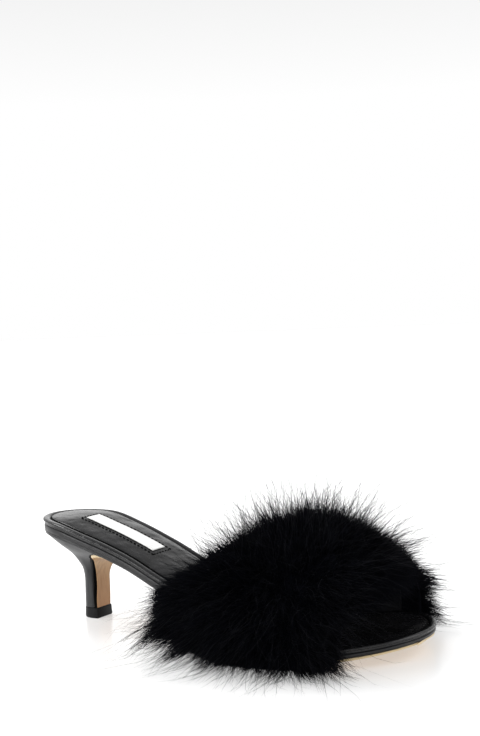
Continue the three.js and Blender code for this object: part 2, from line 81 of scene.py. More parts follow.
INSTEP_HEIGHT = 0.047
BAND_REAR_SOLE = 0.111
BAND_REAR_CREST = 0.138
BAND_FRONT_SOLE = 0.195
BAND_FRONT_CREST = 0.196
FUR_DEPTH = 0.020
FUR_OVERHANG = 0.013
FUR_FLOOR_GAP = 0.0015
FUR_HANG_SHARE = 0.26
MEDIAL_FUR_SHARE = 0.52
ARCH_SHAPE = 0.78
CREST_LEAN = 0.004

# Shares of the footbed's length, then the shares of the named sizes at those places. The heel's rows go
# by the share of the way up to its seat, and the fur's by the share of the way to its front edge.
OUTLINE_AT = np.array([0, 0.15, 0.3, 0.42, 0.54, 0.66, 0.78, 0.88, 1])
OUTLINE_HALF = np.array([0.325, 0.325, 0.302, 0.296, 0.372, 0.468, 0.5, 0.528, 0.485])
OUTLINE_CENTRE = np.array([0.004, -0.014, -0.016, -0.04, -0.045, -0.026, 0, 0.038, 0.05])
UNDERSIDE_AT = np.array([0, 0.1, 0.2, 0.3, 0.42, 0.54, 0.63, 0.68, 0.75, 0.81, 0.88, 0.95, 1])
UNDERSIDE_RISE = np.array([1, 0.975, 0.852, 0.685, 0.446, 0.215, 0.055, 0, 0, 0, 0, 0, 0])
UNDERSIDE_LIFT = np.array([0, 0, 0, 0, 0, 0, 0, 0, 0, 0.14, 0.46, 0.77, 1])
STACK_AT = np.array([0, 0.6, 0.74, 0.87, 1])
STACK_OUTSOLE = np.array([1, 1, 1, 0.72, 0.5])
STACK_MIDSOLE = np.array([1, 0.96, 0.78, 0.48, 0.34])
STACK_SOCK = np.array([1, 1, 0.98, 0.92, 0.8])
HEEL_LEVEL = np.array([0, 0.2, 0.39, 0.52, 0.63, 0.75, 0.82, 0.9, 1])
HEEL_HALF = np.array([0.255, 0.265, 0.275, 0.32, 0.43, 0.57, 0.71, 0.86, 0.98])
HEEL_BREAST = np.array([0.24, 0.258, 0.262, 0.295, 0.385, 0.53, 0.66, 0.8, 0.94])
HEEL_BACK = np.array([0.237, 0.222, 0.21, 0.222, 0.28, 0.425, 0.53, 0.68, 0.95])
CREST_AT = np.array([0.4, 0.54, 0.6, 0.68, 0.76, 0.84, 0.9, 0.96])
CREST_RISE = np.array([0.84, 0.88, 0.92, 0.98, 1, 0.94, 0.83, 0.66])
FUR_ALONG = np.array([0, 0.07, 0.15, 0.28, 0.43, 0.58, 0.7, 0.82, 0.92, 0.97, 1])
FUR_CREST = np.array([0.2, 0.4, 0.62, 0.86, 1.02, 1.08, 1, 0.84, 0.6, 0.4, 0.18])
FUR_SIDE = np.array([0.2, 0.72, 1.12, 1.28, 1.3, 1.24, 1.14, 1, 0.76, 0.5, 0.2])

HEEL_ROUND = 0.148 * FOOTBED_LENGTH
TOE_ROUND = 0.187 * FOOTBED_LENGTH
HEEL_FOOT = TOP_PIECE_HEIGHT + PIECE_GAP


def through(at, values, x):
    """Smooth monotone curve: cubic between rows, its slope the harmonic mean of the rises on both sides."""
    x = np.clip(x, at[0], at[-1])
    rise = np.diff(values) / np.diff(at)
    same = rise[:-1] * rise[1:] > 0
    total = np.where(same, rise[:-1] + rise[1:], 1.0)
    inner = np.where(same, 2 * rise[:-1] * rise[1:] / total, 0.0)
    slope = np.concatenate([rise[:1], inner, rise[-1:]])
    i = np.clip(np.searchsorted(at, x, side="right") - 1, 0, len(at) - 2)
    span = at[i + 1] - at[i]
    t = (x - at[i]) / span
    start = (2 * t**3 - 3 * t**2 + 1) * values[i] + (t**3 - 2 * t**2 + t) * span * slope[i]
    end = (3 * t**2 - 2 * t**3) * values[i + 1] + (t**3 - t**2) * span * slope[i + 1]
    return start + end


def mix(a, b, t):
    """Straight blend from a to b."""
    return a + (b - a) * t


def smooth_step(a, b, x):
    """Rises from 0 at a to 1 at b along a soft S."""
    t = np.clip((x - a) / (b - a), 0, 1)
    return t * t * (3 - 2 * t)


def end_rounding(x):
    """Quarter ellipses at heel and toe: the square root of one minus the reach squared."""
    heel = np.clip((HEEL_ROUND - x) / HEEL_ROUND, 0, 1)
    toe = np.clip((x - FOOTBED_LENGTH + TOE_ROUND) / TOE_ROUND, 0, 1)
    return np.sqrt(1 - np.maximum(heel, toe) ** 2)


def half_width(x):
    """Half the footbed's width at x."""
    return through(OUTLINE_AT, OUTLINE_HALF, x / FOOTBED_LENGTH) * BALL_WIDTH * end_rounding(x)


def middle(x):
    """How far the footbed's middle lies towards the inner side at x."""
    return through(OUTLINE_AT, OUTLINE_CENTRE, x / FOOTBED_LENGTH) * BALL_WIDTH


def underside(x):
    """Height of the sole's lowest face: the arch behind the ball and the toe spring ahead of it."""
    at = x / FOOTBED_LENGTH
    rise = through(UNDERSIDE_AT, UNDERSIDE_RISE, at)
    lift = through(UNDERSIDE_AT, UNDERSIDE_LIFT, at)
    return HEEL_HEIGHT * rise + TOE_SPRING * lift


def layer(thickness, shares, x):
    """Thickness of one layer of the sole at x."""
    return thickness * through(STACK_AT, shares, x / FOOTBED_LENGTH)


def outsole_top(x):
    """The sole's lowest face plus the outsole's thickness."""
    return underside(x) + layer(OUTSOLE_THICKNESS, STACK_OUTSOLE, x)


def midsole_bottom(x):
    """A gap above the outsole."""
    return outsole_top(x) + PIECE_GAP


def midsole_top(x):
    """The midsole's lower face plus its thickness."""
    return midsole_bottom(x) + layer(MIDSOLE_THICKNESS, STACK_MIDSOLE, x)


def sock_bottom(x):
    """A gap above the midsole."""
    return midsole_top(x) + PIECE_GAP


def sock_rim(x):
    """The sock's lower face plus its thickness at the rim."""
    return sock_bottom(x) + layer(SOCK_THICKNESS, STACK_SOCK, x)


# The frame stands centred in plan: the footbed's own box says how far the shoe's sizes are moved
sock_low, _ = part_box("insole_sock")
length_steps = np.linspace(0, FOOTBED_LENGTH, 2000)
rim_low = (middle(length_steps) - half_width(length_steps)).min()
ORIGIN = np.array([-sock_low.x, rim_low - sock_low.y, 0.0])

# Meshes


def new_piece(name, vertices, faces, material, smooth=True):
    """Puts arrays of corners (in the construction's place) and faces into a mesh that rides on the shoe."""
    mesh = bpy.data.meshes.new(name)
    mesh.from_pydata((vertices.reshape(-1, 3) - ORIGIN).tolist(), [], faces)
    mesh.validate()
    mesh.polygons.foreach_set("use_smooth", np.full(len(mesh.polygons), smooth))
    mesh.update()
    piece = bpy.data.objects.new(name, mesh)
    bpy.context.scene.collection.objects.link(piece)
    piece.data.materials.append(material)
    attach(piece, "root")
    return piece


def tidy_skin(piece):
    """Merges corners that coincide where a ring closes on itself, and turns all faces outwards."""
    work = bmesh.new()
    work.from_mesh(piece.data)
    bmesh.ops.remove_doubles(work, verts=work.verts, dist=2e-6)
    bmesh.ops.dissolve_degenerate(work, edges=work.edges, dist=1e-7)
    bmesh.ops.recalc_face_normals(work, faces=work.faces)
    work.to_mesh(piece.data)
    work.free()
    piece.data.update()


def tube_faces(rows, columns, first_cap, last_cap):
    """Quads between rings that close on themselves, and one flat face over each end that is asked for."""
    r, c = np.meshgrid(np.arange(rows - 1), np.arange(columns), indexing="ij")
    d = (c + 1) % columns
    quads = np.stack([r * columns + c, r * columns + d, (r + 1) * columns + d, (r + 1) * columns + c], -1)
    faces = quads.reshape(-1, 4).tolist()
    if first_cap:
        faces.append(list(range(columns))[::-1])
    if last_cap:
        faces.append([(rows - 1) * columns + k for k in range(columns)])
    return faces


def skin(name, rings, material, caps=(False, False), crease_angle=None, patches=()):
    """A closed skin over rings of equal length, each a closed loop of points. Each patch is a material with
    the rows and the columns of the faces that it covers."""
    grid = np.array(rings)
    faces = tube_faces(grid.shape[0], grid.shape[1], *caps)
    piece = new_piece(name, grid, faces, material)
    chosen = np.zeros((grid.shape[0] - 1, grid.shape[1]), dtype=np.int32)
    for number, (other, rows, columns) in enumerate(patches, 1):
        piece.data.materials.append(other)
        chosen[np.ix_(list(rows), list(columns))] = number
    index = np.zeros(len(piece.data.polygons), dtype=np.int32)
    index[: chosen.size] = chosen.ravel()
    piece.data.polygons.foreach_set("material_index", index)
    tidy_skin(piece)
    if crease_angle is not None:
        piece.data.set_sharp_from_angle(angle=crease_angle)
    return piece


# Places along the footbed, closest together at the heel and the toe, where its outline turns
STATION_COUNT = 110
even = np.linspace(0, 1, STATION_COUNT + 1)
STATIONS = FOOTBED_LENGTH * mix((1 - np.cos(np.pi * even)) / 2, even, 0.12)
SPINE_FROM = HEEL_ROUND * 0.9
SPINE_TO = FOOTBED_LENGTH - TOE_ROUND * 0.8


def outline_ring(inset, towards_spine, height):
    """One ring of the footbed's outline: drawn in by the inset, then a share of the way to the spine."""
    x = np.concatenate([STATIONS, STATIONS[-2:0:-1]])
    side = np.concatenate([np.full(STATION_COUNT + 1, -1.0), np.full(STATION_COUNT - 1, 1.0)])
    edge = np.stack([x, middle(x) + side * half_width(x)], -1)
    spine_x = np.clip(x, SPINE_FROM, SPINE_TO)
    spine = np.stack([spine_x, middle(spine_x)], -1)
    way = spine - edge
    moved = edge + way * (inset / np.linalg.norm(way, axis=1))[:, None]
    moved = mix(moved, spine, towards_spine)
    return np.concatenate([moved, height(moved[:, 0])[:, None]], 1)


# Materials


def linear(hex_colour):
    """sRGB hex to the linear colour that shaders take."""
    channels = [int(hex_colour[k : k + 2], 16) / 255 for k in (0, 2, 4)]
    return [c / 12.92 if c <= 0.04045 else ((c + 0.055) / 1.055) ** 2.4 for c in channels] + [1.0]


def add(tree, kind, inputs=None, **settings):
    """Adds one node with its settings; inputs are values or the outputs that feed them."""
    node = tree.nodes.new(kind)
    for key, value in settings.items():
        setattr(node, key, value)
    for key, value in (inputs or {}).items():
        if isinstance(value, bpy.types.NodeSocket):
            tree.links.new(value, node.inputs[key])
        else:
            node.inputs[key].default_value = value
    return node


def new_material(name):
    """An empty node material and its tree."""
    material = bpy.data.materials.new(name)
    material.use_nodes = True
    material.node_tree.nodes.clear()
    return material, material.node_tree


def finish_material(tree, shader):
    """Joins the shader to the material's output."""
    add(tree, "ShaderNodeOutputMaterial", {"Surface": shader.outputs[0]})


def nappa_leather(name, dark, light, roughness, grain=1.0, waves=1.0):
    """Smooth dyed nappa: fine pore grain under a soft finish, with shallow waves where it is stretched."""
    material, tree = new_material(name)
    place = add(tree, "ShaderNodeTexCoord").outputs["Object"]
    # pores about 0.5 mm across, drawn near 1 mm so that they show
    pores = add(tree, "ShaderNodeTexVoronoi", {"Vector": place, "Scale": 1 / 0.0010, "Randomness": 0.9})
    fine = add(tree, "ShaderNodeTexNoise", {"Vector": place, "Scale": 1 / 0.0026, "Detail": 4.0})
    broad = add(tree, "ShaderNodeTexNoise", {"Vector": place, "Scale": 1 / 0.013, "Detail": 2.0})
    height = add(tree, "ShaderNodeMath", {0: pores.outputs["Distance"], 1: 0.5 * grain}, operation="MULTIPLY")
    height = add(tree, "ShaderNodeMath", {0: fine.outputs[0], 1: height.outputs[0]}, operation="ADD")
    small = add(
        tree,
        "ShaderNodeBump",
        {"Height": height.outputs[0], "Strength": 0.16 * grain, "Distance": 0.0004},
    )
    large = add(
        tree,
        "ShaderNodeBump",
        {"Height": broad.outputs[0], "Strength": 0.6 * waves, "Distance": 0.0018, "Normal": small.outputs[0]},
    )
    tone = add(tree, "ShaderNodeValToRGB", {"Fac": broad.outputs[0]})
    tone.color_ramp.elements[0].position = 0.35
    tone.color_ramp.elements[0].color = linear(dark)
    tone.color_ramp.elements[1].position = 0.7
    tone.color_ramp.elements[1].color = linear(light)
    gloss = add(
        tree,
        "ShaderNodeMapRange",
        {"Value": fine.outputs[0], "To Min": roughness - 0.05, "To Max": roughness + 0.07},
    )
    shader = add(
        tree,
        "ShaderNodeBsdfPrincipled",
        {
            "Base Color": tone.outputs[0],
            "Roughness": gloss.outputs[0],
            "Normal": large.outputs[0],
            "Specular IOR Level": 0.4,
        },
    )
    finish_material(tree, shader)
    return material


def sole_leather(name, dark, light, redder_tone):
    """Vegetable-tanned sole leather: pale tan, waxed, with long soft streaks, redder towards the heel tip."""
    material, tree = new_material(name)
    place = add(tree, "ShaderNodeTexCoord").outputs["Object"]
    streaks = add(tree, "ShaderNodeMapping", {"Vector": place, "Scale": (1, 1, 0.22)})
    # fibre 2 mm across, drawn out over four times upwards along the flap, and clouds 11 mm across in its bump
    drawn_out = streaks.outputs[0]
    fibre = add(tree, "ShaderNodeTexNoise", {"Vector": drawn_out, "Scale": 1 / 0.0022, "Detail": 5.0})
    cloud = add(tree, "ShaderNodeTexNoise", {"Vector": place, "Scale": 1 / 0.011, "Detail": 2.0})
    tone = add(tree, "ShaderNodeValToRGB", {"Fac": fibre.outputs[0]})
    tone.color_ramp.elements[0].position = 0.3
    tone.color_ramp.elements[0].color = linear(dark)
    tone.color_ramp.elements[1].position = 0.72
    tone.color_ramp.elements[1].color = linear(light)
    height = add(tree, "ShaderNodeSeparateXYZ", {0: place})
    low = add(
        tree,
        "ShaderNodeMapRange",
        {"Value": height.outputs["Z"], "From Min": 0.030, "From Max": 0.004, "To Min": 0.0, "To Max": 0.75},
    )
    redder = add(tree, "ShaderNodeMix", {0: low.outputs[0], 6: tone.outputs[0]}, data_type="RGBA")
    redder.inputs[7].default_value = linear(redder_tone)
    bump = add(tree, "ShaderNodeBump", {"Height": cloud.outputs[0], "Strength": 0.2, "Distance": 0.0004})
    shader = add(
        tree,
        "ShaderNodeBsdfPrincipled",
        {"Base Color": redder.outputs[2], "Roughness": 0.42, "Normal": bump.outputs[0]},
    )
    finish_material(tree, shader)
    return material


def moulded_rubber(name):
    """Hard moulded top piece: near black with a fine matt skin."""
    material, tree = new_material(name)
    place = add(tree, "ShaderNodeTexCoord").outputs["Object"]
    matt = add(tree, "ShaderNodeTexNoise", {"Vector": place, "Scale": 1 / 0.0009, "Detail": 3.0})
    bump = add(tree, "ShaderNodeBump", {"Height": matt.outputs[0], "Strength": 0.15, "Distance": 0.0002})
    tone = add(tree, "ShaderNodeValToRGB", {"Fac": matt.outputs[0]})
    tone.color_ramp.elements[0].color = linear("070708")
    tone.color_ramp.elements[1].color = linear("101011")
    shader = add(
        tree,
        "ShaderNodeBsdfPrincipled",
        {
            "Base Color": tone.outputs[0],
            "Roughness": 0.45,
            "Specular IOR Level": 0.15,
            "Normal": bump.outputs[0],
        },
    )
    finish_material(tree, shader)
    return material


def woven_label(name):
    """Tight white satin-woven tape: a faint weave of 0.4 mm threads, drawn at 0.8 mm so that it shows."""
    material, tree = new_material(name)
    place = add(tree, "ShaderNodeTexCoord").outputs["Object"]
    weave = add(tree, "ShaderNodeTexWave", {"Vector": place, "Scale": 1 / 0.0050}, bands_direction="X")
    tone = add(tree, "ShaderNodeValToRGB", {"Fac": weave.outputs[0]})
    tone.color_ramp.elements[0].color = linear("F0F0EE")
    tone.color_ramp.elements[1].color = linear("FAFAF9")
    bump = add(tree, "ShaderNodeBump", {"Height": weave.outputs[0], "Strength": 0.12, "Distance": 0.0001})
    shader = add(
        tree,
        "ShaderNodeBsdfPrincipled",
        {"Base Color": tone.outputs[0], "Roughness": 0.6, "Normal": bump.outputs[0]},
    )
    finish_material(tree, shader)
    return material


def dyed_fibre(name, dark, light, roughness, specular):
    """Deep-dyed fibre, as pile or thread, and the same black as ink on a cut edge and as painted shade in a
    seam: black, with a little tone between patches of 6 mm and a gloss that is weak and silky on pile and
    nearly gone on thread, ink and painted shade."""
    material, tree = new_material(name)
    place = add(tree, "ShaderNodeTexCoord").outputs["Object"]
    locks = add(tree, "ShaderNodeTexNoise", {"Vector": place, "Scale": 1 / 0.006, "Detail": 2.0})
    tone = add(tree, "ShaderNodeValToRGB", {"Fac": locks.outputs[0]})
    tone.color_ramp.elements[0].position = 0.3
    tone.color_ramp.elements[0].color = linear(dark)
    tone.color_ramp.elements[1].position = 0.75
    tone.color_ramp.elements[1].color = linear(light)
    shader = add(
        tree,
        "ShaderNodeBsdfPrincipled",
        {"Base Color": tone.outputs[0], "Roughness": roughness, "Specular IOR Level": specular},
    )
    finish_material(tree, shader)
    return material


# The sock is the glossiest leather and its bound rim the smoothest. Wrap and heel cover are more matt.
footbed_leather = nappa_leather("nappa_footbed", "0A0A0B", "151517", 0.25, grain=1.0, waves=1.0)
rim_leather = nappa_leather("nappa_bound_rim", "0B0B0C", "141416", 0.2, grain=0.3, waves=0.15)
wrap_leather = nappa_leather("nappa_wrapped_edge", "0E0E0F", "18181A", 0.36, grain=0.8, waves=0.5)
heel_leather = nappa_leather("nappa_heel_cover", "0F1012", "191A1C", 0.36, grain=0.7, waves=0.4)
lining_leather = nappa_leather("nappa_lining", "121213", "1C1C1E", 0.5)
# Tan on the flap of the heel, more golden under the forefoot, and pale where the edge is cut, with painted
# bounce light from the white table making that edge paler still
outsole_leather = sole_leather("sole_leather", "9F7B52", "BE9C70", "9A6A42")
forefoot_leather = sole_leather("sole_leather_forefoot", "A88446", "CBA55C", "B08A4A")
pale_edge_and_painted_bounce = sole_leather("sole_leather_cut_edge_painted_bounce", "CDB68F", "E6D5B2", "D8C092")
# Painted seam shade, edge ink and threads give almost no gloss, the short pile a little and the longer guard
# hairs more
painted_seam_shade_and_edge_ink = dyed_fibre("matt_black_painted_seam_shade_edge_ink", "020202", "040404", 0.8, 0.05)
top_piece_rubber = moulded_rubber("moulded_rubber")
label_cloth = woven_label("satin_label_tape")
thread_black = dyed_fibre("bonded_nylon_thread", "020203", "050506", 0.8, 0.04)
pile_black = dyed_fibre("modacrylic_pile", "020308", "05060D", 0.8, 0.05)
guard_black = dyed_fibre("modacrylic_guard_hair", "04050A", "090A11", 0.6, 0.12)


# Footbed


def crown(across):
    """Rise of the footbed's middle over its rim: one minus the square of the way still to go."""
    return RIM_STEP + (SOCK_CROWN - RIM_STEP) * (1 - (1 - across) ** 2)


CROWN_INSET = BINDING_WIDTH + SEAM_WIDTH
CROWN_SHARES = (0.06, 0.13, 0.21, 0.3, 0.4, 0.5, 0.6, 0.7, 0.8, 0.9, 1)
BEAD = [
    # inset, height over the rim: up the bound side, over the rim's bead, down into the seam and out of it
    (0.0010, -0.80 * SOCK_THICKNESS),
    (0.0010, -0.56 * SOCK_THICKNESS),
    (0.0006, -0.50 * SOCK_THICKNESS),
    (0.0001, -0.43 * SOCK_THICKNESS),
    (0.0000, -0.34 * SOCK_THICKNESS),
    (0.00012, -0.21 * SOCK_THICKNESS),
    (0.0004, -0.115 * SOCK_THICKNESS),
    (0.0008, -0.05 * SOCK_THICKNESS),
    (0.0013, -0.014 * SOCK_THICKNESS),
    (0.0019, 0.0),
    (0.0029, -0.00006),
    (0.0034, -0.00018),
    (0.0037, -0.0004),
    (0.0039, -0.0008),
    (0.0041, -0.0010),
    (0.0044, -0.0009),
    (0.0047, -0.0004),
    (0.0051, -0.0001),
    (0.0056, 0.0001),
    (CROWN_INSET, RIM_STEP),
]
# The first bead row whose height follows the seam's depth, then face rows counted from the underside's middle
SEAM_FROM = 11
RIM_ROWS = range(10, 16)
SEAM_ROWS = range(17, 20)


def seam_depth(x):
    """Share of the seam's depth: whole along the sides and the heel, shallow round the toe."""
    return mix(1, 0.35, smooth_step(0.78, 0.9, x / FOOTBED_LENGTH))


def over_rim(rise, in_seam=False):
    """The rim's height plus a rise, as a function of x. In the seam its depth scales the rise."""
    return lambda x: sock_rim(x) + rise * (seam_depth(x) if in_seam else 1)


def make_footbed():
    """The padded sock: a flat underside, the bead round its rim, the seam beside it with its groove painted
    near-black as shade, then the crown, whose rings close on the spine."""
    rings = [outline_ring(MIDSOLE_INSET, s, sock_bottom) for s in (1, 0.5, 0)]
    for row, (inset, rise) in enumerate(BEAD):
        rings.append(outline_ring(inset, 0, over_rim(rise, in_seam=row >= SEAM_FROM)))
    for s in CROWN_SHARES:
        rings.append(outline_ring(CROWN_INSET, s, over_rim(crown(s))))
    around = range(len(rings[0]))
    # The bound rim is smoother leather, and the seam's faces are painted near-black as the shade in its
    # groove
    patches = [(rim_leather, RIM_ROWS, around), (painted_seam_shade_and_edge_ink, SEAM_ROWS, around)]
    piece = skin("footbed", rings, footbed_leather, patches=patches)
    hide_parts("insole_sock")
    return piece


def make_wrapped_edge():
    """The board's leather wrap: a soft side with one sewn seam near its lower edge, between flat faces."""
    tucked_in = 0.0013
    sides = [
        # inset, share of the height
        (0.0012, 0.0),
        (0.0009, 0.05),
        (0.0008, 0.13),
        (0.0008, 0.2),
        (0.0012, 0.25),
        (0.0008, 0.3),
        (0.00065, 0.45),
        (0.0006, 0.6),
        (0.00065, 0.78),
        (0.0008, 0.92),
        (0.0012, 1.0),
    ]
    rings = [outline_ring(tucked_in, s, midsole_bottom) for s in (1, 0.5)]
    for inset, up in sides:
        rings.append(outline_ring(inset, 0, lambda x, up=up: mix(midsole_bottom(x), midsole_top(x), up)))
    rings += [outline_ring(tucked_in, s, midsole_top) for s in (0.5, 1)]
    piece = skin("wrapped_edge", rings, wrap_leather)
    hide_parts("midsole")
    return piece


def label_height(x, y):
    """Height of the footbed's face under the label, from how far across the width the point lies."""
    across = 1 - np.abs(y - middle(x)) / half_width(x)
    return sock_rim(x) + SOCK_CROWN * (1 - (1 - across) ** 2)


def make_label():
    """A thin blank plate of tape that follows the footbed's curve, with rounded long edges."""
    # way across as a share of half the width, share of the thickness
    lower = [(-1, 0.15), (-0.985, 0), (0, 0), (0.985, 0), (1, 0.15)]
    upper = [(1, 0.8), (0.985, 1), (0, 1), (-0.985, 1), (-1, 0.8)]
    side, up = np.array(lower + upper).T
    rings = []
    for x in np.linspace(LABEL_SETBACK, LABEL_SETBACK + LABEL_LENGTH, 40):
        y = middle(x) + side * LABEL_WIDTH / 2
        z = label_height(x, y) + LABEL_LIFT + up * LABEL_THICKNESS
        rings.append(np.stack([np.full(len(side), x), y, z], -1))
    piece = skin("label", rings, label_cloth, caps=(True, True), crease_angle=math.radians(40))
    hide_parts("insole_label")
    return piece


def stitches(name, centres, directions, length, radius, material):
    """Short rounded threads laid along their direction: a share of the length along it for each ring, and
    round it the cosine and sine of an angle times the ring's radius."""
    sides = 6
    ring_share = np.array([-1, -0.62, 0, 0.62, 1])
    ring_radius = np.array([0.15, 0.8, 1, 0.8, 0.15])
    angle = np.linspace(0, 2 * np.pi, sides, endpoint=False)
    up = np.array([0.0, 0.0, 1.0])
    across = np.cross(directions, up)
    across /= np.linalg.norm(across, axis=1)[:, None]
    over = np.cross(across, directions)
    along = ring_share[None, :, None, None] * directions[:, None, None, :] * length / 2
    around = (
        np.cos(angle)[None, None, :, None] * across[:, None, None, :]
        + np.sin(angle)[None, None, :, None] * over[:, None, None, :]
    )
    points = centres[:, None, None, :] + along + around * radius * ring_radius[None, :, None, None]
    corners = len(ring_share) * sides
    wall = np.array(tube_faces(len(ring_share), sides, False, False))
    caps = np.array([list(range(sides))[::-1], list(range(corners - sides, corners))])
    faces = []
    for k in range(len(centres)):
        faces += (wall + corners * k).tolist()
        faces += (caps + corners * k).tolist()
    return new_piece(name, points, faces, material)


def make_label_stitches():
    """A sewn rectangle round the label, in stitches of 1.8 mm that lie on the footbed's curve."""
    margin, pitch, lift = 0.0024, 0.0024, 0.00005
    length, radius = 0.0018, 0.00034
    x0, x1 = LABEL_SETBACK - margin, LABEL_SETBACK + LABEL_LENGTH + margin
    half = LABEL_WIDTH / 2 + margin
    long_x = np.arange(x0 + pitch / 2, x1, pitch)
    short_y = np.arange(-half + pitch / 2, half, pitch)
    x = np.concatenate([long_x, long_x, np.full(len(short_y), x0), np.full(len(short_y), x1)])
    offset = np.concatenate([np.full(len(long_x), -half), np.full(len(long_x), half), short_y, short_y])
    y = middle(x) + offset
    z = label_height(x, y) + lift
    along_x = np.concatenate([np.ones(2 * len(long_x)), np.zeros(2 * len(short_y))])
    step = 0.0005
    ahead_x, ahead_y = x + along_x * step, y + (1 - along_x) * step
    ahead = np.stack([ahead_x, ahead_y, label_height(ahead_x, ahead_y)], -1)
    direction = ahead - np.stack([x, y, label_height(x, y)], -1)
    direction /= np.linalg.norm(direction, axis=1)[:, None]
    centres = np.stack([x, y, z], -1)
    return stitches("label_stitches", centres, direction, length, radius, thread_black)


def make_edge_stitches():
    """The row of stitches along the bound edge, down in its seam, at even steps along its length."""
    inset, down, pitch, step = 0.0043, 0.0008, 0.0029, 0.0004
    length, radius = 0.0020, 0.0002
    ring = outline_ring(inset, 0, over_rim(-down, in_seam=True))
    closed = np.concatenate([ring, ring[:1]])
    gone = np.concatenate([[0], np.cumsum(np.linalg.norm(np.diff(closed, axis=0), axis=1))])
    at = np.arange(0, gone[-1] - pitch / 2, pitch)
    centres = np.stack([np.interp(at, gone, closed[:, k]) for k in range(3)], -1)
    ahead = np.stack([np.interp(at + step, gone, closed[:, k]) for k in range(3)], -1)
    direction = ahead - centres
    direction /= np.linalg.norm(direction, axis=1)[:, None]
    return stitches("edge_stitches", centres, direction, length, radius, thread_black)


# Sole and heel

SEAT_HALF = half_width(np.array(HEEL_ROUND)) - MIDSOLE_INSET
SEAT_BACK = HEEL_ROUND - MIDSOLE_INSET
WAIST_REAR_RUN = 0.012
WAIST_FRONT_RUN = 0.030
FLAP_CURVE = 0.0014
FLAP_BEVEL = 0.0005
SIDE_FOOT, TOE_SIDE_FOOT = 0.5, 0.12
BEVEL_BULGE = 0.22
PALE_FILLET_ROWS = 8


def heel_level(x, z):
    """Share of the way up from the heel's foot to the seat above x."""
    return (z - HEEL_FOOT) / (outsole_top(x) - HEEL_FOOT)


def heel_centre(level):
    """The heel's middle across: from the tip's to the seat's, by the share of the seat's width."""
    return mix(HEEL_TIP_CENTRE, middle(np.array(HEEL_ROUND)), through(HEEL_LEVEL, HEEL_HALF, level))


def breast_half(level, x):
    """Half width of the heel's front: a share of the seat's, no wider than the midsole above it."""
    return np.minimum(SEAT_HALF * through(HEEL_LEVEL, HEEL_BREAST, level), half_width(x) - MIDSOLE_INSET)


def outsole_half(x):
    """Half width of the outsole: the footbed's outline drawn in by the inset, and by more at the waist."""
    ahead = np.maximum(x - FOOTBED_LENGTH + TOE_ROUND, 0)
    outer = x + OUTSOLE_INSET * ahead / (TOE_ROUND - OUTSOLE_INSET)
    waist = smooth_step(WAIST_FROM, WAIST_FROM + WAIST_REAR_RUN, x)
    waist = waist * (1 - smooth_step(WAIST_TO - WAIST_FRONT_RUN, WAIST_TO, x))
    return half_width(outer) - OUTSOLE_INSET * end_rounding(outer) - WAIST_INSET * waist


def slope_at(x, step=0.0001):
    """Rise of the sole's lowest face over a small step to both sides."""
    return (underside(x + step) - underside(x - step)) / (2 * step)


def outsole_path():
    """Shown face of the outsole from toe to heel tip: along the arch, round the fillet, down the breast. Each
    row has x, z, the direction out of the leather and a 1 where it lies on the sole."""
    touch = BREAST_SETBACK + BREAST_FILLET
    for _ in range(8):
        s = slope_at(np.array(touch))
        touch = BREAST_SETBACK + BREAST_FILLET - BREAST_FILLET * s / math.hypot(1, s)
    tip = FOOTBED_LENGTH - OUTSOLE_INSET
    inner = STATIONS[(STATIONS > touch + 0.0015) & (STATIONS < tip - 0.0004)][::-1]
    x = np.concatenate([[tip], inner])
    s = slope_at(x)
    n = np.hypot(1, s)
    sole = np.stack([x, underside(x), s / n, -1 / n, np.ones(len(x))], -1)
    s = slope_at(np.array(touch))
    outward = np.array([s, -1.0]) / math.hypot(1, s)
    centre = np.array([touch, underside(np.array(touch))]) + outward * BREAST_FILLET
    angle = np.linspace(math.atan2(-outward[1], -outward[0]), math.pi, 22)
    way = np.stack([np.cos(angle), np.sin(angle)], -1)
    arc = np.concatenate([centre + way * BREAST_FILLET, -way, np.zeros((len(angle), 1))], 1)
    arc[0, 4] = 1
    z = np.linspace(centre[1], HEEL_FOOT, 14)[1:]
    none = np.zeros(len(z))
    drop = np.stack([np.full(len(z), BREAST_SETBACK), z, np.ones(len(z)), none, none], -1)
    return np.concatenate([sole, arc, drop])


OUTSOLE_PATH = outsole_path()


